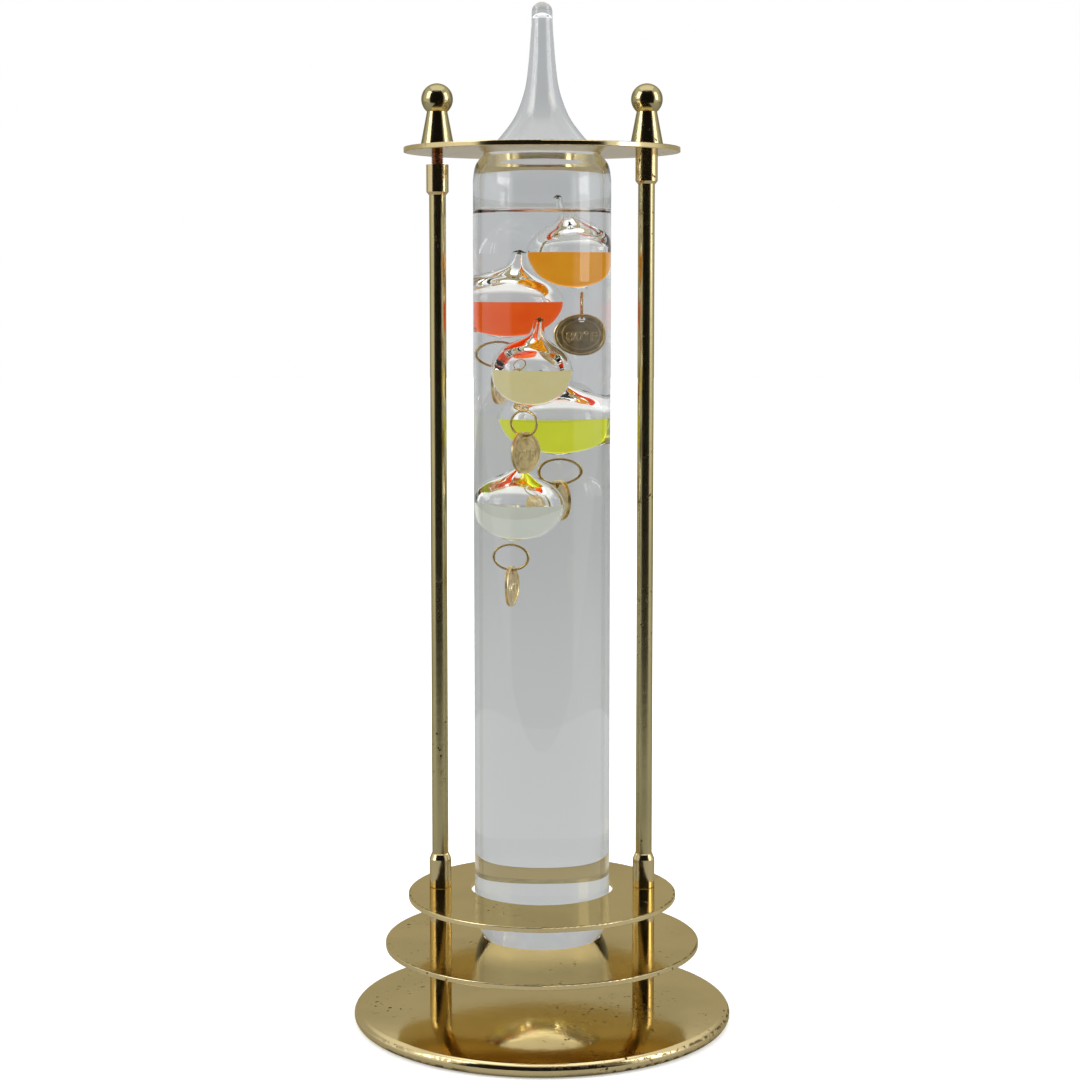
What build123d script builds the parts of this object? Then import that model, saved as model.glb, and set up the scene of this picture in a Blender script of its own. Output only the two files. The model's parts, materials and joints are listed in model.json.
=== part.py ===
from build123d import *

import os
from math import cos, radians, sin, sqrt

# Galileo thermometer on a tiered brass stand.
#
# A sealed glass cylinder of clear oil holds five blown glass floats, each with a coloured filling and a
# temperature tag on a wire ring. The cylinder stands in the seat of the middle disc, between two posts
# that are clamped from base to top plate by a threaded tie rod each, under a finial.
#
# Units are millimetres, +Z is up and the origin is the centre of the base's underside. The posts and
# the glass share one plane a little behind the centre of the discs.

os.makedirs("parts", exist_ok=True)

# ---- driving dimensions -------------------------------------------------------------------------
SETBACK = 5.4  # glass and posts stand this far behind the centre of the discs
POST_X = 33.25  # half the distance between the posts
PLATE = 1.6  # thickness of the three flat discs

BASE_RADIUS = 61.1
BASE_TOP = 5.85
BASE_SHEET = 1.2
BASE_FLAT_RADIUS = 42.0  # flat middle of the base, before it falls away to the rim
BEAD_RADIUS = 2.3  # rolled rim of the base
PAD_RADIUS = 56.0
PAD_THICKNESS = 1.2

MIDDLE_RADIUS = 50.8
MIDDLE_TOP = 25.8
SEAT_RADIUS = 19.3  # the dome of the glass sits in this hole

COLLAR_RADIUS = 43.3
COLLAR_TOP = 41.6
COLLAR_HOLE_RADIUS = 23.25

TOP_RADIUS = 43.6
TOP_UNDERSIDE = 279.2
TOP_HOLE_RADIUS = 18.65

POST_RADIUS = 2.65
ROD_RADIUS = 1.97
BORE_RADIUS = 2.15  # clearance for the tie rods
SLEEVE_RADIUS = 3.55  # spacers and ferrules
FOOT_FERRULE_LENGTH = 11.2
FOOT_CHAMFER = 1.9
HEAD_FERRULE_LENGTH = 9.5
HEAD_ROUNDING = 0.9
LEFT_POST_GAP = 3.45  # the left post stops this far short of the top plate

NUT_FLATS = 7.0
NUT_HEIGHT = 2.0
WASHER_RADIUS = 4.4
WASHER_HEIGHT = 0.7
THREAD_PITCH = 0.7
THREAD_DEPTH = 0.38

FINIAL_BAND = 1.0
FINIAL_FOOT_RADIUS = 5.3
FINIAL_NECK_RADIUS = 3.25
FINIAL_NECK_HEIGHT = 11.6
FINIAL_BALL_RADIUS = 5.03
FINIAL_BORE_DEPTH = 9.5
FINIAL_BORE_RADIUS = 2.03

TUBE_RADIUS = 22.0
TUBE_WALL = 1.5
DOME_BOTTOM = 16.5
DOME_TOP = 34.7  # the straight tube starts here
SHOULDER_BASE = 270.5
OIL_LEVEL = 260.2
CAP_RADIUS = 3.3  # rounded end of the sealed tip
TIP_TOP = 326.7

BULB_RADIUS = 10.9
EYELET_DROP = 12.0  # from the widest level of a bulb down to the middle of its eyelet
EYELET_MAJOR, EYELET_MINOR = 1.2, 0.5
RING_RADIUS, WIRE_RADIUS = 4.02, 0.33
TAG_RADIUS, TAG_THICKNESS = 6.6, 0.9
TAG_HOLE_RADIUS, TAG_HOLE_INSET = 0.85, 1.75
TAG_RIM, TAG_RECESS = 0.8, 0.18
HANG_GAP = 0.1  # slack where a wire hangs in a hole
BULB_WALL = 0.7
FILL_GAP = 0.02  # a filling stops just short of its bulb's inner wall
OIL_GAP = 0.25  # room around a float in the oil

# name, x, y behind the glass centre line, widest level, neck height, lean towards +X, and the tag's
# direction, turned anticlockwise from facing +X
FLOATS = [
    ("float_80", 7.4, -0.9, 247.4, 18.5, -8.0, -78.5),
    ("float_76", -6.6, 6.5, 231.7, 17.3, 8.0, -26.0),
    ("float_72", -2.9, -8.8, 210.4, 17.3, 8.0, -37.7),
    ("float_68", 3.1, 8.8, 194.2, 17.3, 0.0, 23.9),
    ("float_64", -5.9, -0.4, 167.1, 13.6, 5.0, -19.8),
]
FILL_RISE = 0.6  # a float's filling stands this far above its widest level

SIDES = (("left", -POST_X), ("right", POST_X))
SECTION = Plane(origin=(0, SETBACK, 0), x_dir=(1, 0, 0), z_dir=(0, -1, 0))
GLASS_AXIS = Axis((0, SETBACK, 0), (0, 0, 1))


def level(z):
    """Horizontal sketch plane at height z, centred on the discs."""
    return Plane.XY.offset(z)


def save(piece, name):
    piece.part.label = name
    export_step(piece.part, f"parts/{name}.step")


# ---- base ---------------------------------------------------------------------------------------
bead_centre = (BASE_RADIUS - BEAD_RADIUS, BEAD_RADIUS)
crown_run = bead_centre[0] - BASE_FLAT_RADIUS
crown_drop = BASE_TOP - bead_centre[1]
# the crown is an arc that leaves the flat level and runs into the bead without a step
crown_radius = (crown_run**2 + crown_drop**2 - BEAD_RADIUS**2) / (2 * (crown_drop - BEAD_RADIUS))
crown_centre = (BASE_FLAT_RADIUS, BASE_TOP - crown_radius)
crown_angle = Vector(crown_run, bead_centre[1] - crown_centre[1]).get_angle(Vector(0, 1))
BEAD_END = -115.0  # where the roll of the rim stops

with BuildPart() as base_plate:
    with BuildSketch(Plane.XZ):
        with BuildLine():
            Line((0, BASE_TOP), (BASE_FLAT_RADIUS, BASE_TOP))
            CenterArc(crown_centre, crown_radius, 90, -crown_angle)
            bead = CenterArc(bead_centre, BEAD_RADIUS, 90 - crown_angle, BEAD_END - 90 + crown_angle)
            inner_bead = CenterArc(
                bead_centre, BEAD_RADIUS - BASE_SHEET, BEAD_END, 90 - crown_angle - BEAD_END
            )
            Line(bead @ 1, inner_bead @ 0)
            CenterArc(crown_centre, crown_radius - BASE_SHEET, 90 - crown_angle, crown_angle)
            Line((BASE_FLAT_RADIUS, BASE_TOP - BASE_SHEET), (0, BASE_TOP - BASE_SHEET))
            Line((0, BASE_TOP - BASE_SHEET), (0, BASE_TOP))
        make_face()
    revolve(axis=Axis.Z)
    with BuildSketch(level(0)):
        with Locations((-POST_X, SETBACK), (POST_X, SETBACK)):
            Circle(BORE_RADIUS)
    extrude(amount=BASE_TOP, mode=Mode.SUBTRACT)
save(base_plate, "base_plate")

with BuildPart() as base_pad:
    with BuildSketch(level(0)):
        Circle(PAD_RADIUS)
    extrude(amount=PAD_THICKNESS)
save(base_pad, "base_pad")

washer_top = BASE_TOP - BASE_SHEET
nut_top = washer_top - WASHER_HEIGHT
rod_bottom = nut_top - NUT_HEIGHT - 0.3

with BuildPart() as base_washers:
    with BuildSketch(level(washer_top)):
        with Locations((-POST_X, SETBACK), (POST_X, SETBACK)):
            Circle(WASHER_RADIUS)
            Circle(BORE_RADIUS, mode=Mode.SUBTRACT)
    extrude(amount=-WASHER_HEIGHT)
save(base_washers, "base_washers")

with BuildPart() as base_nuts:
    with BuildSketch(level(nut_top)):
        with Locations((-POST_X, SETBACK), (POST_X, SETBACK)):
            RegularPolygon(radius=NUT_FLATS / 2, side_count=6, major_radius=False)
            Circle(ROD_RADIUS + 0.03, mode=Mode.SUBTRACT)
    extrude(amount=-NUT_HEIGHT)
save(base_nuts, "base_nuts")


# ---- flat discs ---------------------------------------------------------------------------------
def disc(name, radius, underside, hole_radius):
    """A flat disc with a hole for the glass and one for each tie rod."""
    with BuildPart() as plate:
        with BuildSketch(level(underside)):
            Circle(radius)
            with Locations((0, SETBACK)):
                Circle(hole_radius, mode=Mode.SUBTRACT)
            with Locations((-POST_X, SETBACK), (POST_X, SETBACK)):
                Circle(BORE_RADIUS, mode=Mode.SUBTRACT)
        extrude(amount=PLATE)
        fillet(plate.edges().filter_by(GeomType.CIRCLE).sort_by(SortBy.RADIUS)[-2:], radius=0.25)
    save(plate, name)


disc("middle_disc", MIDDLE_RADIUS, MIDDLE_TOP - PLATE, SEAT_RADIUS)
disc("collar_disc", COLLAR_RADIUS, COLLAR_TOP - PLATE, COLLAR_HOLE_RADIUS)
disc("top_plate", TOP_RADIUS, TOP_UNDERSIDE, TOP_HOLE_RADIUS)


# ---- posts, sleeves, tie rods and finials -------------------------------------------------------
def sleeve(name, x, bottom, top, radius, bore):
    """A plain round tube on a post's centre line."""
    with BuildPart() as tube:
        with BuildSketch(level(bottom)):
            with Locations((x, SETBACK)):
                Circle(radius)
                Circle(bore, mode=Mode.SUBTRACT)
        extrude(amount=top - bottom)
    save(tube, name)


def foot_ferrule(name, x):
    """The cap that holds the post's foot, tapered at its upper end."""
    top = COLLAR_TOP + FOOT_FERRULE_LENGTH
    with BuildPart() as ferrule:
        with BuildSketch(Plane(origin=(x, SETBACK, 0), x_dir=(1, 0, 0), z_dir=(0, -1, 0))):
            with BuildLine():
                Polyline(
                    (POST_RADIUS + 0.02, COLLAR_TOP),
                    (SLEEVE_RADIUS - 0.2, COLLAR_TOP),
                    (SLEEVE_RADIUS, COLLAR_TOP + 0.2),
                    (SLEEVE_RADIUS, top - FOOT_CHAMFER),
                    (POST_RADIUS + 0.25, top - 0.25),
                    (POST_RADIUS + 0.02, top),
                    close=True,
                )
            make_face()
        revolve(axis=Axis((x, SETBACK, 0), (0, 0, 1)))
    save(ferrule, name)


def head_ferrule(name, x, top):
    """The cap on the post's head, rounded at its lower end."""
    bottom = top - HEAD_FERRULE_LENGTH
    with BuildPart() as ferrule:
        with BuildSketch(level(bottom)):
            with Locations((x, SETBACK)):
                Circle(SLEEVE_RADIUS)
                Circle(POST_RADIUS + 0.02, mode=Mode.SUBTRACT)
        extrude(amount=HEAD_FERRULE_LENGTH)
        lower_rim = ferrule.edges().group_by(Axis.Z)[0].sort_by(SortBy.RADIUS)[-1]
        chamfer(lower_rim, length=HEAD_ROUNDING, length2=HEAD_ROUNDING * 0.8)
    save(ferrule, name)


def tie_rod(name, x):
    """A threaded rod from the nut under the base up into the finial."""
    top = TOP_UNDERSIDE + PLATE + FINIAL_BORE_DEPTH - 0.5
    thread_bottom = TOP_UNDERSIDE - LEFT_POST_GAP - 2
    turns = int((top - thread_bottom) / THREAD_PITCH)
    crests = [(ROD_RADIUS, thread_bottom)]
    for turn in range(turns):
        z = thread_bottom + turn * THREAD_PITCH
        crests.append((ROD_RADIUS - THREAD_DEPTH, z + THREAD_PITCH / 2))
        crests.append((ROD_RADIUS, z + THREAD_PITCH))
    with BuildPart() as rod:
        with BuildSketch(Plane(origin=(x, SETBACK, 0), x_dir=(1, 0, 0), z_dir=(0, -1, 0))):
            with BuildLine():
                Polyline(
                    (0, rod_bottom), (ROD_RADIUS, rod_bottom), *crests, (0, crests[-1][1]), close=True
                )
            make_face()
        revolve(axis=Axis((x, SETBACK, 0), (0, 0, 1)))
    save(rod, name)


def finial(name, x):
    """A turned ball on a cone, bored and threaded from below."""
    foot = TOP_UNDERSIDE + PLATE
    ball_rise = sqrt(FINIAL_BALL_RADIUS**2 - FINIAL_NECK_RADIUS**2)
    ball_centre = foot + FINIAL_NECK_HEIGHT + ball_rise
    with BuildPart() as knob:
        with BuildSketch(Plane(origin=(x, SETBACK, 0), x_dir=(1, 0, 0), z_dir=(0, -1, 0))):
            with BuildLine():
                profile = Polyline(
                    (FINIAL_BORE_RADIUS, foot),
                    (FINIAL_FOOT_RADIUS - 0.15, foot),
                    (FINIAL_FOOT_RADIUS, foot + 0.15),
                    (FINIAL_FOOT_RADIUS, foot + FINIAL_BAND),
                    (FINIAL_NECK_RADIUS, foot + FINIAL_NECK_HEIGHT),
                )
                ThreePointArc(
                    profile @ 1,
                    (FINIAL_BALL_RADIUS, ball_centre),
                    (0, ball_centre + FINIAL_BALL_RADIUS),
                )
                Polyline(
                    (0, ball_centre + FINIAL_BALL_RADIUS),
                    (0, foot + FINIAL_BORE_DEPTH + 1.2),
                    (FINIAL_BORE_RADIUS, foot + FINIAL_BORE_DEPTH),
                    (FINIAL_BORE_RADIUS, foot),
                )
            make_face()
        revolve(axis=Axis((x, SETBACK, 0), (0, 0, 1)))
    save(knob, name)


for side, x in SIDES:
    post_top = TOP_UNDERSIDE - (LEFT_POST_GAP if side == "left" else 0)
    sleeve(f"lower_spacer_{side}", x, BASE_TOP, MIDDLE_TOP - PLATE, SLEEVE_RADIUS, BORE_RADIUS)
    sleeve(f"upper_spacer_{side}", x, MIDDLE_TOP, COLLAR_TOP - PLATE, SLEEVE_RADIUS, BORE_RADIUS)
    sleeve(f"post_{side}", x, COLLAR_TOP, post_top, POST_RADIUS, BORE_RADIUS)
    foot_ferrule(f"foot_ferrule_{side}", x)
    head_ferrule(f"head_ferrule_{side}", x, post_top)
    tie_rod(f"tie_rod_{side}", x)
    finial(f"finial_{side}", x)

# ---- glass cylinder -----------------------------------------------------------------------------
CAP_BASE = TIP_TOP - CAP_RADIUS
BORE_END, BORE_END_RADIUS = 321.0, 2.3  # the bore of the neck ends in a round bottom here
OUTER_SHOULDER = [
    (TUBE_RADIUS, SHOULDER_BASE),
    (21.2, 275.4),
    (18.4, 279.2),
    (13.6, 284.1),
    (9.2, 289.8),
    (6.65, 295.4),
    (5.1, 301.0),
    (4.3, 307.6),
    (3.9, 312.3),
    (3.4, 319.0),
    (CAP_RADIUS, CAP_BASE),
]
INNER_SHOULDER = [
    (TUBE_RADIUS - TUBE_WALL, SHOULDER_BASE - 0.2),
    (19.7, 274.3),
    (17.0, 278.0),
    (12.2, 283.0),
    (7.9, 288.8),
    (5.3, 294.6),
    (3.7, 300.4),
    (2.9, 306.8),
    (2.5, 313.5),
    (BORE_END_RADIUS, BORE_END),
]
INNER_RADIUS = TUBE_RADIUS - TUBE_WALL
DOME_DEPTH = DOME_TOP - DOME_BOTTOM

with BuildPart() as glass_cylinder:
    with BuildSketch(SECTION):
        with BuildLine():
            EllipticalCenterArc((0, DOME_TOP), TUBE_RADIUS, DOME_DEPTH, start_angle=270, arc_size=90)
            Line((TUBE_RADIUS, DOME_TOP), OUTER_SHOULDER[0])
            Spline(OUTER_SHOULDER, tangents=[(0, 1), (0, 1)])
            CenterArc((0, CAP_BASE), CAP_RADIUS, 0, 90)
            Line((0, TIP_TOP), (0, BORE_END + BORE_END_RADIUS))
            CenterArc((0, BORE_END), BORE_END_RADIUS, 0, 90)
            Spline(INNER_SHOULDER, tangents=[(0, 1), (0, 1)])
            Line(INNER_SHOULDER[0], (INNER_RADIUS, DOME_TOP))
            EllipticalCenterArc(
                (0, DOME_TOP), INNER_RADIUS, DOME_DEPTH - TUBE_WALL, start_angle=270, arc_size=90
            )
            Line((0, DOME_BOTTOM), (0, DOME_BOTTOM + TUBE_WALL))
        make_face()
    revolve(axis=GLASS_AXIS)
save(glass_cylinder, "glass_cylinder")


# ---- floats -------------------------------------------------------------------------------------
def bulb_outline(gap, neck):
    """Half section of a bulb from the bottom up, grown outwards by gap: an onion on a round belly."""
    shoulder = 11.4
    return [
        (0, -10.9 - gap),
        (2.3, -10.5 - gap),
        (6.2 + gap * 0.6, -8.9 - gap * 0.8),
        (9.4 + gap * 0.8, -5.4 - gap * 0.5),
        (BULB_RADIUS + gap, 0),
        (10.1 + gap, 4.0),
        (7.9 + gap * 0.8, 7.3 + gap * 0.6),
        (4.6 + gap * 0.7, 9.6 + gap * 0.7),
        (2.4 + gap, shoulder),
        (1.6 + gap, shoulder + 0.4 * (neck - shoulder)),
        (1.35 + gap, neck - 1.0 + gap),
        (0, neck + gap),
    ]


class FloatFrame:
    """Where one float's bulb, eyelet, ring and tag lie."""

    def __init__(self, x, y, widest, neck, lean, turn):
        self.neck = neck
        self.lean = lean
        self.centre = Vector(x, SETBACK + y, widest)
        upright = Vector(sin(radians(lean)), 0, cos(radians(lean)))
        self.across = Vector(cos(radians(turn)), sin(radians(turn)), 0)  # square to the tag
        self.sideways = Vector(0, 0, 1).cross(self.across)  # square to the ring
        self.section = Plane(
            origin=self.centre, x_dir=(cos(radians(lean)), 0, -sin(radians(lean))), z_dir=(0, -1, 0)
        )
        self.axis = Axis(self.centre, upright)
        self.eyelet = self.centre - upright * EYELET_DROP
        slack = EYELET_MAJOR - EYELET_MINOR - WIRE_RADIUS - HANG_GAP
        self.hang = self.eyelet - Vector(0, 0, slack)
        self.ring = self.hang - Vector(0, 0, RING_RADIUS)
        tag_hole_drop = RING_RADIUS + TAG_HOLE_RADIUS - WIRE_RADIUS - HANG_GAP
        self.tag = self.ring - Vector(0, 0, tag_hole_drop + TAG_RADIUS - TAG_HOLE_INSET)
        self.tag_plane = Plane(origin=self.tag, x_dir=self.sideways, z_dir=self.across)
        self.ring_plane = Plane(origin=self.ring, x_dir=self.across, z_dir=self.sideways)


def bulb_line(neck, gap):
    """The outline of a bulb as one smooth line, square to the axis at both ends."""
    return Spline(bulb_outline(gap, neck), tangents=[(1, 0), (-1, 0)])


def solid_bulb(frame, gap):
    """The closed half section of a bulb, sketched beside its own axis."""
    with BuildSketch(frame.section) as section:
        with BuildLine():
            outline = bulb_line(frame.neck, gap)
            Line(outline @ 1, outline @ 0)
        make_face()
    return section.sketch


def cut_disc(plane, radius, thickness):
    """Cuts a round flat pocket, centred on the plane."""
    with BuildSketch(plane) as pocket:
        Circle(radius)
    extrude(pocket.sketch, amount=thickness / 2, both=True, mode=Mode.SUBTRACT)


def bulb(name, frame):
    """A blown bulb with a drawn neck and a glass eyelet below, made upright and then leaned over."""
    with BuildPart() as blown:
        with BuildSketch(Plane.XZ):
            with BuildLine():
                outside = bulb_line(frame.neck, 0)
                inside = bulb_line(frame.neck, -BULB_WALL)
                Line(outside @ 1, inside @ 1)
                Line(inside @ 0, outside @ 0)
            make_face()
        revolve(axis=Axis.Z)
        with Locations(Plane(origin=(0, 0, -EYELET_DROP), z_dir=frame.across)):
            Torus(EYELET_MAJOR, EYELET_MINOR)
    with BuildPart() as shell:
        with Locations(Location(frame.centre, (0, frame.lean, 0))):
            add(blown.part)
    save(shell, name)


def filling(name, frame):
    """The coloured filling, level on top however the bulb leans."""
    with BuildPart() as liquid:
        revolve(solid_bulb(frame, -BULB_WALL - FILL_GAP), axis=frame.axis)
        split(bisect_by=level(frame.centre.Z + FILL_RISE), keep=Keep.BOTTOM)
    save(liquid, name)


def ring(name, frame):
    """The wire ring through the eyelet."""
    with BuildPart() as wire:
        with Locations(frame.ring_plane):
            Torus(RING_RADIUS, WIRE_RADIUS)
    save(wire, name)


def tag(name, frame):
    """A round medal with a raised rim on both faces and a hole for the ring."""
    recess_level = TAG_THICKNESS / 2 - TAG_RECESS
    with BuildPart() as medal:
        with BuildSketch(frame.tag_plane):
            Circle(TAG_RADIUS)
            with Locations((0, TAG_RADIUS - TAG_HOLE_INSET)):
                Circle(TAG_HOLE_RADIUS, mode=Mode.SUBTRACT)
        extrude(amount=TAG_THICKNESS / 2, both=True)
        for face_level, depth in ((recess_level, TAG_RECESS), (-recess_level, -TAG_RECESS)):
            with BuildSketch(frame.tag_plane.offset(face_level)):
                Circle(TAG_RADIUS - TAG_RIM)
            extrude(amount=depth, mode=Mode.SUBTRACT)
    save(medal, name)


frames = {name: FloatFrame(*place) for name, *place in FLOATS}
for name, frame in frames.items():
    bulb(f"{name}_bulb", frame)
    filling(f"{name}_filling", frame)
    ring(f"{name}_ring", frame)
    tag(f"{name}_tag", frame)

# ---- oil ----------------------------------------------------------------------------------------
with BuildPart() as oil:
    with BuildSketch(SECTION):
        with BuildLine():
            EllipticalCenterArc(
                (0, DOME_TOP), INNER_RADIUS, DOME_DEPTH - TUBE_WALL, start_angle=270, arc_size=90
            )
            Polyline((INNER_RADIUS, DOME_TOP), (INNER_RADIUS, OIL_LEVEL), (0, OIL_LEVEL))
            Line((0, OIL_LEVEL), (0, DOME_BOTTOM + TUBE_WALL))
        make_face()
    revolve(axis=GLASS_AXIS)
    for frame in frames.values():
        revolve(solid_bulb(frame, OIL_GAP), axis=frame.axis, mode=Mode.SUBTRACT)
        with Locations(frame.eyelet):
            Sphere(EYELET_MAJOR + EYELET_MINOR + OIL_GAP, mode=Mode.SUBTRACT)
        cut_disc(frame.ring_plane, RING_RADIUS + WIRE_RADIUS + OIL_GAP, 2 * (WIRE_RADIUS + OIL_GAP))
        cut_disc(frame.tag_plane, TAG_RADIUS + OIL_GAP, TAG_THICKNESS + 2 * OIL_GAP)
save(oil, "oil")
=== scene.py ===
"""Galileo thermometer: polished brass stand, oil-filled glass cylinder, blown floats and numbered tags."""

import json
from math import cos, pi, radians, sin

import bmesh
import bpy
from mathutils import Matrix, Vector


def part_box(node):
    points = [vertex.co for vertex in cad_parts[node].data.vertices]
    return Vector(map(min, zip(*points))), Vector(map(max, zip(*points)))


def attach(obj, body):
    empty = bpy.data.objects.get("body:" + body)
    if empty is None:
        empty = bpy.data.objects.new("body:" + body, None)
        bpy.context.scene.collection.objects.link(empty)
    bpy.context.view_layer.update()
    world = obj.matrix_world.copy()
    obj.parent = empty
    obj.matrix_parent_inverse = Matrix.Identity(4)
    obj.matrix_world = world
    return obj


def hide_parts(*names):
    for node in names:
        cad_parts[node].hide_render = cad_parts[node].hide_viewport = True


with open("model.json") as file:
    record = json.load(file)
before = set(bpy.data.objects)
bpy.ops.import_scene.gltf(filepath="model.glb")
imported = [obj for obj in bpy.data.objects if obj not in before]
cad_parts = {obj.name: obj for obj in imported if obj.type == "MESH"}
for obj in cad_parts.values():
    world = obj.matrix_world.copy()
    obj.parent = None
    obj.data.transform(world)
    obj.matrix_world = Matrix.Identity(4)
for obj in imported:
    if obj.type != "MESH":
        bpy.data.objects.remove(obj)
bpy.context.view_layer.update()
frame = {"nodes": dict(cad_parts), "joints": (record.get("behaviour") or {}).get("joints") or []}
MM = 0.001

# ---- what the frame says -------------------------------------------------------------------------
glass_low, glass_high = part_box("glass_cylinder")
oil_low, oil_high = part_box("oil")
AXIS = Vector(((glass_low.x + glass_high.x) / 2, (glass_low.y + glass_high.y) / 2, 0))
WELL_RADIUS = (oil_high.x - oil_low.x) / 2
OIL_LEVEL = oil_high.z
joints = {joint["name"]: joint for joint in frame["joints"]}

# name, temperature, colour of the filling and the strength of its painted glow, which stands in for the
# light it scatters, height of the neck above the bulb's widest level, lean towards +X in degrees
FLOATS = [
    ("float_80", 80, (0.86, 0.40, 0.03), 0.13, 18.5, -8.0),
    ("float_76", 76, (0.86, 0.14, 0.02), 0.17, 17.3, 8.0),
    ("float_72", 72, (0.96, 0.84, 0.46), 0.05, 17.3, 8.0),
    ("float_68", 68, (0.84, 0.88, 0.075), 0.09, 17.3, 0.0),
    ("float_64", 64, (0.95, 0.96, 0.86), 0.04, 13.6, 5.0),
]

# in millimetres, as every length below is until the floor, light and camera, which are in metres
EYELET_DROP = 12.0  # from the widest level of a bulb down to its eyelet
EYELET_RADIUS, EYELET_WIRE = 1.2, 0.5
HANG_SLACK = 0.27  # from the eyelet's centre down to where its ring hangs
BULB_RADIUS = 10.9
BULB_WALL = 0.7
SHOULDER = 11.4  # from the widest level up to where the neck begins
FILL_RISE = 0.6  # the filling's surface above the widest level
SKIN = 0.03  # what keeps a filling off the glass round it
SEAL_HEIGHT = 0.9
TAG_RADIUS, TAG_THICKNESS = 6.6, 0.9
TAG_RELIEF_HEIGHT = 0.15  # how far the rim and the figures stand up
TAG_HOLE_RADIUS, TAG_HOLE_INSET = 0.85, 1.75
TAG_DROP = 13.31  # from where the ring hangs down to the tag's centre


# ---- shader nodes --------------------------------------------------------------------------------
class Signal:
    """A shader socket that takes part in Python expressions; each operator adds a Math node."""

    def __init__(self, tree, socket):
        self.tree = tree
        self.socket = socket

    def _math(self, operation, first, second):
        node = self.tree.nodes.new("ShaderNodeMath")
        node.operation = operation
        for value, socket in zip((first, second), node.inputs):
            if isinstance(value, Signal):
                self.tree.links.new(value.socket, socket)
            else:
                socket.default_value = value
        return Signal(self.tree, node.outputs[0])

    def __add__(self, other):
        return self._math("ADD", self, other)

    __radd__ = __add__

    def __sub__(self, other):
        return self._math("SUBTRACT", self, other)

    def __rsub__(self, other):
        return self._math("SUBTRACT", other, self)

    def __mul__(self, other):
        return self._math("MULTIPLY", self, other)

    __rmul__ = __mul__

    def __truediv__(self, other):
        return self._math("DIVIDE", self, other)


class Tree:
    """A node tree being filled; node() adds any node from its settings and its inputs."""

    def __init__(self, tree):
        self.tree = tree
        tree.nodes.clear()

    def node(self, kind, settings=None, output=0, **inputs):
        """Adds a node. An input goes by its name, with _ for a space, or by i and its number."""
        node = self.tree.nodes.new(kind)
        for name, value in (settings or {}).items():
            setattr(node, name, value)
        for name, value in inputs.items():
            key = int(name[1:]) if name[1:].isdigit() else name.replace("_", " ")
            self.plug(node.inputs[key], value)
        return Signal(self.tree, node.outputs[output])

    def plug(self, socket, value):
        """Links a signal to a socket, or sets the socket to a plain value."""
        if isinstance(value, Signal):
            self.tree.links.new(value.socket, socket)
        else:
            socket.default_value = value

    def place(self, scale=(1, 1, 1)):
        """Object coordinates in metres, scaled along each axis."""
        coordinates = self.node("ShaderNodeTexCoord", output=3)
        return self.node("ShaderNodeMapping", Vector=coordinates, Scale=scale)

    def noise(self, scale, detail=3.0, roughness=0.5):
        """Cloudy values round 0.5; scale is in clouds to the metre."""
        return self.node(
            "ShaderNodeTexNoise", Vector=self.place(), Scale=scale, Detail=detail, Roughness=roughness
        )

    def step(self, value, low, high):
        """0 below low, 1 above high and smooth between them."""
        return self.node(
            "ShaderNodeMapRange",
            {"interpolation_type": "SMOOTHSTEP"},
            i0=value, i1=low, i2=high, i3=0.0, i4=1.0,
        )

    def mix(self, factor, first, second):
        """A colour between two colours."""
        return self.node(
            "ShaderNodeMix", {"data_type": "RGBA"}, output=2, i0=factor, i6=first, i7=second
        )

    def length(self, vector):
        """How long a vector is."""
        return self.node("ShaderNodeVectorMath", {"operation": "LENGTH"}, output=1, Vector=vector)

    def bump(self, height, strength, distance):
        """A normal that follows a height, distance metres deep."""
        return self.node("ShaderNodeBump", Height=height, Strength=strength, Distance=distance)


def colour(red, green, blue):
    """A linear colour with the full alpha that sockets want."""
    return (red, green, blue, 1.0)


def finish(name, build):
    """A material whose surface is the Principled shader that build() fills in."""
    material = bpy.data.materials.new(name)
    material.use_nodes = True
    tree = Tree(material.node_tree)
    surface = tree.node("ShaderNodeBsdfPrincipled", **build(tree))
    output = tree.tree.nodes.new("ShaderNodeOutputMaterial")
    tree.plug(output.inputs["Surface"], surface)
    return material


def brass(tone, gloss, tarnish, rim=None):
    """Lacquered brass with smudges and dark specks in patches.

    A disc of radius rim also has a ragged dark line just inside its edge.
    """

    def build(tree):
        smudge = tree.noise(38.0, 4.0)
        haze = tree.noise(240.0, 3.0)
        speck = tree.step(tree.noise(620.0, 1.0), 0.65, 0.73)
        patch = tree.step(tree.noise(46.0, 2.0), 0.51, 0.64)
        stain = speck * patch * tarnish
        if rim:
            # a ragged, broken dark line just inside the disc's edge
            reach = tree.length(tree.place((1, 1, 0)))
            line = tree.step(reach, rim - 0.8 * MM, rim - 0.5 * MM)
            line = line * (1.0 - tree.step(reach, rim - 0.3 * MM, rim))
            ragged = tree.step(tree.noise(480.0, 2.0), 0.44, 0.54)
            broken = tree.step(tree.noise(24.0, 1.0), 0.38, 0.52)
            dark_rimmed = line * ragged * broken * 0.9
            stain = tree.node("ShaderNodeMath", {"operation": "MAXIMUM"}, i0=stain, i1=dark_rimmed)
        dull = colour(*(c * 0.82 for c in tone))
        base = tree.mix(tree.step(smudge, 0.35, 0.7) * 0.6, colour(*tone), dull)
        return {
            "Base_Color": tree.mix(stain, base, colour(0.10, 0.06, 0.025)),
            "Metallic": 1.0,
            "Specular_Tint": colour(*(c**0.6 for c in tone)),
            "Roughness": gloss + 0.06 * haze + 0.05 * smudge + 0.35 * stain,
            "Normal": tree.bump(tree.noise(300.0, 2.0), 0.08, 0.0004),
        }

    return build


def clear(tint, ior):
    """Clear glass or air with the given bend of light at its surface, against what lies outside it."""

    def build(tree):
        return {
            "Base_Color": colour(*tint),
            "Roughness": 0.0,
            "Transmission_Weight": 1.0,
            "IOR": ior,
        }

    return build


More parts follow.
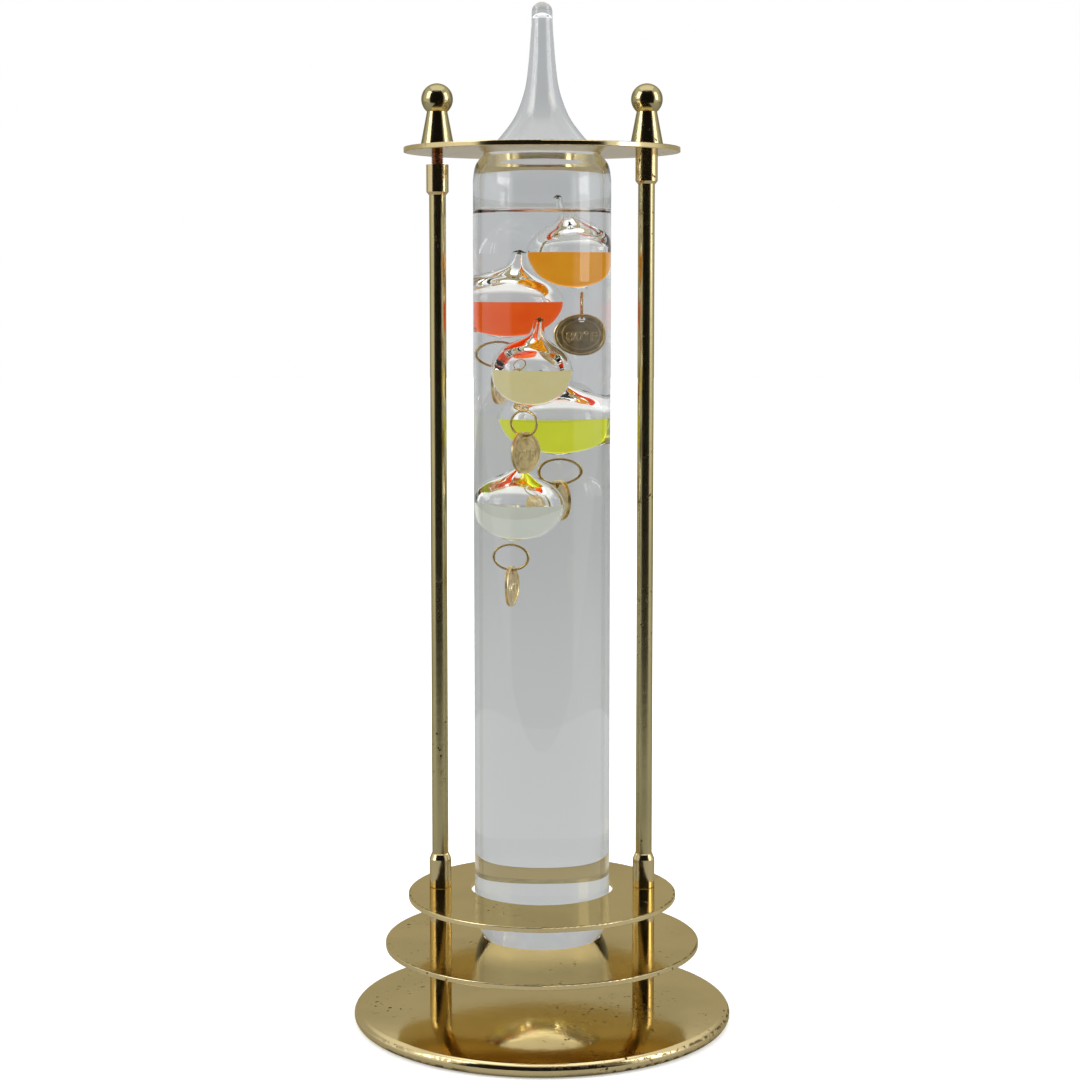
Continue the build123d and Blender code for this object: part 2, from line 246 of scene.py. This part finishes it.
def dyed(tint, painted_glow):
    """Coloured filling: clear, with a painted glow in its own colour that stands in for the light the dye
    scatters back.
    """

    def build(tree):
        cloud = tree.noise(160.0, 3.0)
        deep = tuple(c * c for c in tint)
        body = tree.mix(tree.step(cloud, 0.3, 0.75) * 0.3, colour(*tint), colour(*deep))
        return {
            "Base_Color": body,
            "Roughness": 0.02,
            "Transmission_Weight": 1.0,
            "IOR": 1.03,
            # painted glow: the filling emits its own colour, standing in for the light it gathers and
            # scatters
            "Emission_Color": body,
            "Emission_Strength": painted_glow,
        }

    return build


def thread_metal(tree):
    """Bare coppery plating of the threaded rods, dirtier in cloudy patches."""
    grime = tree.step(tree.noise(900.0, 3.0), 0.35, 0.7)
    return {
        "Base_Color": tree.mix(grime, colour(0.60, 0.35, 0.22), colour(0.34, 0.18, 0.11)),
        "Metallic": 1.0,
        "Roughness": 0.32 + 0.15 * grime,
    }


def felt(tree):
    """Dark green felt with a short nap."""
    nap = tree.noise(1800.0, 5.0, 0.7)
    return {
        "Base_Color": tree.mix(nap, colour(0.012, 0.035, 0.02), colour(0.03, 0.075, 0.045)),
        "Roughness": 0.95,
        "Sheen_Weight": 0.4,
        "Normal": tree.bump(nap, 0.6, 0.0006),
    }


def stamping(light, dark):
    """Stamped gold, clouded with tarnish from the light tone to the dark one."""

    def build(tree):
        cloud = tree.noise(420.0, 4.0)
        return {
            "Base_Color": tree.mix(tree.step(cloud, 0.35, 0.7), colour(*light), colour(*dark)),
            "Metallic": 1.0,
            "Roughness": 0.30 + 0.16 * cloud,
            "Normal": tree.bump(cloud, 0.25, 0.0002),
        }

    return build


def dark_seal(tree):
    """Smoky glass where the neck of a bulb was melted shut."""
    return {
        "Base_Color": tree.mix(tree.noise(1500.0), colour(0.05, 0.045, 0.03), colour(0.2, 0.17, 0.1)),
        "Roughness": 0.4,
    }


TUBE_BRASS = finish("turned_brass", brass((0.62, 0.50, 0.27), 0.10, 0.9))
POST_BRASS = finish("post_brass", brass((0.48, 0.41, 0.21), 0.17, 1.2))
FINIAL_BRASS = finish("finial_brass", brass((0.43, 0.37, 0.20), 0.09, 1.6))
THREAD = finish("thread_metal", thread_metal)
FELT = finish("green_felt", felt)
TAG_METAL = finish("stamped_tag", stamping((0.90, 0.72, 0.38), (0.58, 0.44, 0.20)))
# raised figures and rims: the tag's stamped gold painted lighter, a painted highlight for light catching
# their edges
RELIEF_HIGHLIGHTED = finish("tag_relief_painted_highlight", stamping((0.95, 0.82, 0.50), (0.80, 0.64, 0.32)))
WIRE = finish("wire", brass((0.62, 0.47, 0.2), 0.18, 0.3))
COLUMN_GLASS = finish("column_glass", clear((0.95, 0.965, 0.965), 1.46))
AIR_WALL = finish("air_wall", clear((1.0, 1.0, 1.0), 1.46))
BULB_GLASS = finish("bulb_glass", clear((0.97, 0.98, 0.97), 1.035))
BULB_AIR = finish("bulb_air", clear((1.0, 1.0, 1.0), 1.4))
SEAL = finish("neck_seal", dark_seal)


# ---- making pieces -------------------------------------------------------------------------------
def arc(centre, radii, start, end, count):
    """Points of an elliptical arc in the half section, from start to end degrees."""
    angles = [radians(start + (end - start) * i / count) for i in range(count + 1)]
    return [(centre[0] + radii[0] * cos(a), centre[1] + radii[1] * sin(a)) for a in angles]


def flowing(points, count):
    """A smooth line through the points, count steps from each to the next."""
    ends = [points[0], *points, points[-1]]
    line = []
    for before, start, end, after in zip(ends, ends[1:], ends[2:], ends[3:]):
        for i in range(count):
            t = i / count
            line.append(tuple(
                q + 0.5 * ((r - p) * t + (2 * p - 5 * q + 4 * r - s) * t**2 + (3 * q - p - 3 * r + s) * t**3)
                for p, q, r, s in zip(before, start, end, after)
            ))
    return [*line, points[-1]]


def lathe(outline, steps=96):
    """A closed shell of revolution about Z from a half section in millimetres."""
    shell = bmesh.new()
    ring = [shell.verts.new((radius, 0, height)) for radius, height in outline]
    edges = [shell.edges.new(pair) for pair in zip(ring, ring[1:])]
    bmesh.ops.spin(
        shell, geom=ring + edges, cent=(0, 0, 0), axis=(0, 0, 1), angle=2 * pi, steps=steps, use_merge=True
    )
    bmesh.ops.remove_doubles(shell, verts=shell.verts, dist=0.0005)
    bmesh.ops.recalc_face_normals(shell, faces=shell.faces)
    return shell


def inward(shell):
    """Turns a shell inside out, as the wall of an air space is."""
    bmesh.ops.reverse_faces(shell, faces=shell.faces)
    return shell


def cut_level(shell, height, keep_above):
    """Cuts a shell at a level, keeps one side and closes it with a flat face."""
    cut = bmesh.ops.bisect_plane(
        shell, geom=shell.verts[:] + shell.edges[:] + shell.faces[:], plane_co=(0, 0, height),
        plane_no=(0, 0, 1), clear_inner=keep_above, clear_outer=not keep_above,
    )
    rim = [item for item in cut["geom_cut"] if isinstance(item, bmesh.types.BMEdge)]
    bmesh.ops.contextual_create(shell, geom=rim)
    bmesh.ops.recalc_face_normals(shell, faces=shell.faces)
    return shell


def piece(name, body, shells, place, crease=40.0):
    """Joins shells in millimetres, each with its material, into one object that rides on a body."""
    joined = bmesh.new()
    mesh = bpy.data.meshes.new(name)
    for index, (shell, material) in enumerate(shells):
        for face in shell.faces:
            face.material_index = index
            face.smooth = True
        part = bpy.data.meshes.new(name)
        shell.to_mesh(part)
        joined.from_mesh(part)
        bpy.data.meshes.remove(part)
        mesh.materials.append(material)
    bmesh.ops.transform(joined, matrix=place @ Matrix.Scale(MM, 4), verts=joined.verts)
    joined.to_mesh(mesh)
    mesh.set_sharp_from_angle(angle=radians(crease))
    made = bpy.data.objects.new(name, mesh)
    bpy.context.scene.collection.objects.link(made)
    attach(made, body)
    return made


# ---- brass stand ---------------------------------------------------------------------------------
def cover(node, material):
    """Gives a frame mesh its material."""
    frame["nodes"][node].data.materials.clear()
    frame["nodes"][node].data.materials.append(material)


for node in ("base_plate", "middle_disc", "collar_disc", "top_plate"):
    low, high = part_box(node)
    dark_rimmed = brass((0.74, 0.60, 0.32), 0.07, 1.0, rim=(high.x - low.x) / 2)
    cover(node, finish(f"{node}_brass", dark_rimmed))

for side in ("left", "right"):
    for part in ("lower_spacer", "upper_spacer", "foot_ferrule", "head_ferrule"):
        cover(f"{part}_{side}", TUBE_BRASS)
    cover(f"post_{side}", POST_BRASS)
    cover(f"finial_{side}", FINIAL_BRASS)
    cover(f"tie_rod_{side}", THREAD)

cover("base_pad", FELT)
cover("base_nuts", TUBE_BRASS)
cover("base_washers", TUBE_BRASS)


# ---- glass cylinder and oil ----------------------------------------------------------------------
DOME_BOTTOM, DOME_TOP = 16.5, 34.7
OUTER_SHOULDER = [
    (22.0, 270.5), (21.2, 275.4), (18.4, 279.2), (13.6, 284.1), (9.2, 289.8), (6.65, 295.4),
    (5.1, 301.0), (4.3, 307.6), (3.9, 312.3), (3.4, 319.0), (3.3, 323.4),
]
INNER_SHOULDER = [
    (20.5, 270.3), (19.7, 274.3), (17.0, 278.0), (12.2, 283.0), (7.9, 288.8), (5.3, 294.6),
    (3.7, 300.4), (2.9, 306.8), (2.5, 313.5), (2.3, 321.0),
]
cap_radius, cap_base = OUTER_SHOULDER[-1]
bore_radius, bore_end = INNER_SHOULDER[-1]
MENISCUS_RISE, MENISCUS_WIDTH = 1.3, 1.6


def glass_column():
    """Outer wall of the tube with its oil, and the air space that the oil leaves at the top."""
    wall = [
        *arc((0, DOME_TOP), (22.0, DOME_TOP - DOME_BOTTOM), 270, 360, 24),
        *[(22.0, DOME_TOP + (270.5 - DOME_TOP) * i / 12) for i in range(1, 12)],
        *flowing(OUTER_SHOULDER, 5),
        *arc((0, cap_base), (cap_radius, cap_radius), 0, 90, 10)[1:],
    ]
    level = OIL_LEVEL / MM
    well = WELL_RADIUS / MM
    air = [
        (0, level),
        (well * 0.6, level),
        *arc((well - MENISCUS_WIDTH, level + MENISCUS_RISE), (MENISCUS_WIDTH, MENISCUS_RISE), 270, 360, 6),
        *flowing(INNER_SHOULDER, 5),
        *arc((0, bore_end), (bore_radius, bore_radius), 0, 90, 8)[1:],
    ]
    column = piece(
        "glass_column", "stand",
        [(lathe(wall, 144), COLUMN_GLASS), (inward(lathe(air, 144)), AIR_WALL)],
        Matrix.Translation(AXIS),
    )
    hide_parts("glass_cylinder", "oil")


glass_column()


# ---- floats --------------------------------------------------------------------------------------
def bulb_outline(gap, neck):
    """Half section of a blown bulb, grown outwards by gap: a round belly under a drawn neck."""
    return flowing([
        (0, -10.9 - gap),
        (2.3, -10.5 - gap),
        (6.2 + gap * 0.6, -8.9 - gap * 0.8),
        (9.4 + gap * 0.8, -5.4 - gap * 0.5),
        (BULB_RADIUS + gap, 0),
        (10.1 + gap, 4.0),
        (7.9 + gap * 0.8, 7.3 + gap * 0.6),
        (4.6 + gap * 0.7, 9.6 + gap * 0.7),
        (2.4 + gap, SHOULDER),
        (1.6 + gap, SHOULDER + 0.4 * (neck - SHOULDER)),
        (1.35 + gap, neck - 1.0 + gap),
        (0, neck + gap),
    ], 6)


def leaned(shell, lean):
    """Leans a shell about its origin by a number of degrees."""
    bmesh.ops.rotate(shell, verts=shell.verts, cent=(0, 0, 0), matrix=Matrix.Rotation(radians(lean), 3, "Y"))
    return shell


def eyelet(across):
    """Small glass loop under a bulb, square to the given direction."""
    loop = bmesh.new()
    wire = Matrix.Translation((EYELET_RADIUS, 0, 0)) @ Matrix.Rotation(pi / 2, 4, "X")
    bmesh.ops.create_circle(loop, segments=12, radius=EYELET_WIRE, matrix=wire)
    bmesh.ops.spin(
        loop, geom=loop.verts[:] + loop.edges[:], cent=(0, 0, 0), axis=(0, 0, 1), angle=2 * pi, steps=32,
        use_merge=True,
    )
    bmesh.ops.recalc_face_normals(loop, faces=loop.faces)
    turn = Vector((0, 0, 1)).rotation_difference(across).to_matrix()
    bmesh.ops.rotate(loop, verts=loop.verts, cent=(0, 0, 0), matrix=turn)
    bmesh.ops.translate(loop, verts=loop.verts, vec=(0, 0, -EYELET_DROP))
    return loop


def bulb_and_filling(name, tint, painted_glow, neck, lean):
    """A blown bulb with its eyelet and sealed neck, and the level filling in it."""
    swing = joints[f"{name}_tag_swing"]
    upright = Vector((sin(radians(lean)), 0, cos(radians(lean))))
    centre = Vector(swing["pos_m"]) + Vector((0, 0, HANG_SLACK)) * MM + upright * EYELET_DROP * MM
    place = Matrix.Translation(centre)
    outside = leaned(lathe(bulb_outline(0, neck), 64), lean)
    loop = leaned(eyelet(Vector(swing["axis"])), lean)
    hollow = leaned(lathe(bulb_outline(-BULB_WALL, neck), 64), lean)
    air = inward(cut_level(hollow, FILL_RISE + SKIN, True))
    tip = leaned(cut_level(lathe(bulb_outline(0.02, neck), 32), neck - SEAL_HEIGHT, True), lean)
    bulb = piece(
        f"{name}_glass", name,
        [(outside, BULB_GLASS), (loop, BULB_GLASS), (air, BULB_AIR), (tip, SEAL)], place,
    )
    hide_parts(f"{name}_bulb")
    liquid = cut_level(leaned(lathe(bulb_outline(-BULB_WALL - SKIN, neck), 64), lean), FILL_RISE, False)
    body = finish(f"{name}_dye", dyed(tint, painted_glow))
    dye = piece(f"{name}_dye", name, [(liquid, body)], place)
    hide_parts(f"{name}_filling")


# ---- tags and rings ------------------------------------------------------------------------------
def ridge(radius, width, height):
    """A raised ring on a tag's face."""
    half = width / 2
    return lathe([
        (radius - half, 0), (radius - half * 0.6, height), (radius + half * 0.6, height), (radius + half, 0),
        (radius - half, 0),
    ], 72)


def medal():
    """The tag's disc with its hole, before anything is raised on it."""
    disc = bmesh.new()
    hole = Matrix.Translation((0, TAG_RADIUS - TAG_HOLE_INSET, 0))
    bmesh.ops.create_circle(disc, segments=72, radius=TAG_RADIUS)
    bmesh.ops.create_circle(disc, segments=24, radius=TAG_HOLE_RADIUS, matrix=hole)
    bmesh.ops.triangle_fill(disc, edges=disc.edges[:], use_beauty=True)
    core = TAG_THICKNESS - 2 * TAG_RELIEF_HEIGHT
    grown = bmesh.ops.extrude_face_region(disc, geom=disc.faces[:])["geom"]
    raised = [item for item in grown if isinstance(item, bmesh.types.BMVert)]
    bmesh.ops.translate(disc, verts=raised, vec=(0, 0, core))
    bmesh.ops.translate(disc, verts=disc.verts, vec=(0, 0, -core / 2))
    bmesh.ops.recalc_face_normals(disc, faces=disc.faces)
    return disc


def raised_number(number):
    """The temperature in raised figures, on the face that looks along +Z."""
    curve = bpy.data.curves.new("figures", "FONT")
    curve.body = f"{number}°F"
    curve.size = 4.1
    curve.align_x = "CENTER"
    curve.align_y = "CENTER"
    curve.extrude = 0.08
    curve.bevel_depth = 0.07
    curve.bevel_resolution = 0
    curve.resolution_u = 3
    holder = bpy.data.objects.new("figures", curve)
    bpy.context.scene.collection.objects.link(holder)
    bpy.context.view_layer.update()
    mesh = bpy.data.meshes.new_from_object(holder)
    figures = bmesh.new()
    figures.from_mesh(mesh)
    bpy.data.objects.remove(holder)
    bpy.data.curves.remove(curve)
    bpy.data.meshes.remove(mesh)
    bmesh.ops.remove_doubles(figures, verts=figures.verts, dist=0.001)
    level = TAG_THICKNESS / 2 - TAG_RELIEF_HEIGHT
    bmesh.ops.translate(figures, verts=figures.verts, vec=(0, -0.7, level))
    return figures


def tag(name, number):
    """A stamped tag below its ring, its figures towards the way its hinge's axis points."""
    swing = joints[f"{name}_tag_swing"]
    facing = Vector(swing["axis"])
    up = Vector((0, 0, 1))
    right = up.cross(facing)
    turn = Matrix((right, up, facing)).transposed().to_4x4()
    place = Matrix.Translation(Vector(swing["pos_m"]) - Vector((0, 0, TAG_DROP * MM))) @ turn
    shells = [(medal(), TAG_METAL), (raised_number(number), RELIEF_HIGHLIGHTED)]
    face_level = TAG_THICKNESS / 2 - TAG_RELIEF_HEIGHT
    for radius, width, height, turned in (
        (TAG_RADIUS - 0.4, 0.8, TAG_RELIEF_HEIGHT, 0.0),
        (TAG_RADIUS - 0.4, 0.8, TAG_RELIEF_HEIGHT, pi),
        (TAG_RADIUS * 0.7, 0.3, 0.12, 0.0),
    ):
        raised = ridge(radius, width, height)
        bmesh.ops.translate(raised, verts=raised.verts, vec=(0, 0, face_level - 0.005))
        bmesh.ops.rotate(raised, verts=raised.verts, cent=(0, 0, 0), matrix=Matrix.Rotation(turned, 3, "X"))
        shells.append((raised, RELIEF_HIGHLIGHTED))
    made = piece(f"{name}_medal", f"{name}_tag", shells, place, crease=30.0)
    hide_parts(f"{name}_tag")


for name, number, tint, painted_glow, neck, lean in FLOATS:
    bulb_and_filling(name, tint, painted_glow, neck, lean)
    tag(name, number)
    cover(f"{name}_ring", WIRE)


# ---- floor, light and camera ---------------------------------------------------------------------
FLOOR_RADIUS, FLOOR_FRONT = 2.6, 0.45  # the second is how far it reaches in front of the object


def pale_floor(tree):
    """White to look at, grey where the brass mirrors it or the glass bends it, and brighter far away."""
    seen = tree.node("ShaderNodeLightPath")
    far = tree.step(tree.length(tree.place()), 0.15, 0.8)
    return {
        "Base_Color": tree.mix(seen, colour(0.45, 0.46, 0.455), colour(0.97, 0.97, 0.97)),
        "Roughness": 0.9,
        "Emission_Color": tree.mix(
            seen,
            tree.mix(far, colour(0.07, 0.07, 0.07), colour(0.09, 0.09, 0.09)),
            tree.mix(far, colour(0.36, 0.36, 0.36), colour(0.85, 0.85, 0.85)),
        ),
        "Emission_Strength": 1.0,
    }


def floor():
    """A round floor that ends a little in front of the object and goes far back behind it."""
    ground = bmesh.new()
    bmesh.ops.create_circle(ground, cap_ends=True, segments=96, radius=FLOOR_RADIUS)
    bmesh.ops.translate(ground, verts=ground.verts, vec=(0, FLOOR_RADIUS - FLOOR_FRONT, 0))
    mesh = bpy.data.meshes.new("floor")
    ground.to_mesh(mesh)
    mesh.materials.append(finish("pale_floor", pale_floor))
    made = bpy.data.objects.new("floor", mesh)
    bpy.context.scene.collection.objects.link(made)


def studio():
    """White walls at the sides, a grey one behind the object and a dark one behind the camera."""
    world = bpy.data.worlds.new("studio")
    bpy.context.scene.world = world
    world.use_nodes = True
    tree = Tree(world.node_tree)
    direction = tree.node("ShaderNodeTexCoord")
    parts = tree.tree.nodes.new("ShaderNodeSeparateXYZ")
    tree.plug(parts.inputs[0], direction)
    x, y, z = (Signal(tree.tree, output) for output in parts.outputs)
    flat = tree.node("ShaderNodeMath", {"operation": "SQRT"}, i0=x * x + y * y + 0.0001)
    forward = y / flat
    dark = tree.step(0.0 - forward, 0.52, 0.66) * (1.0 - tree.step(z, 0.80, 0.92))
    back = tree.step(forward, 0.2, 0.6) * (1.0 - tree.step(z, 0.35, 0.6))
    bright = tree.mix(back, colour(0.95, 0.95, 0.94), colour(0.5, 0.51, 0.52))
    walls = tree.mix(dark, bright, colour(0.012, 0.011, 0.011))
    seen = tree.node("ShaderNodeLightPath")
    background = tree.node(
        "ShaderNodeBackground", Color=tree.mix(seen, walls, colour(1.0, 1.0, 1.0)), Strength=1.0
    )
    output = tree.tree.nodes.new("ShaderNodeOutputWorld")
    tree.plug(output.inputs["Surface"], background)


def softbox(name, place, aim, size, power):
    """A rectangular lamp of size metres that faces aim."""
    lamp = bpy.data.lights.new(name, "AREA")
    lamp.shape = "RECTANGLE"
    lamp.size, lamp.size_y = size
    lamp.energy = power
    made = bpy.data.objects.new(name, lamp)
    bpy.context.scene.collection.objects.link(made)
    made.location = place
    made.rotation_euler = (Vector(aim) - Vector(place)).to_track_quat("-Z", "Y").to_euler()


def camera():
    """Level with the upper third of the tube, looking down a little."""
    lens = bpy.data.cameras.new("camera")
    lens.sensor_width = 36.0
    lens.lens = 76.38
    lens.shift_x = -0.00185
    lens.shift_y = -0.037
    lens.clip_start = 0.01
    made = bpy.data.objects.new("camera", lens)
    bpy.context.scene.collection.objects.link(made)
    made.location = (0, -0.7297, 0.24035)
    made.rotation_euler = (radians(90 - 5.57), 0, 0)
    bpy.context.scene.camera = made


floor()
studio()
softbox("left_softbox", (-0.9, -0.35, 0.75), (0, 0, 0.15), (0.5, 0.8), 4.0)
softbox("right_softbox", (0.95, -0.25, 0.6), (0, 0, 0.15), (0.4, 0.8), 3.0)
softbox("top_softbox", (0, 0.1, 1.3), (0, 0, 0), (1.2, 1.0), 2.4)
camera()

scene = bpy.context.scene
scene.view_settings.view_transform = "Standard"
scene.cycles.max_bounces = 24
scene.cycles.transmission_bounces = 24
scene.cycles.glossy_bounces = 8
scene.cycles.sample_clamp_indirect = 6.0
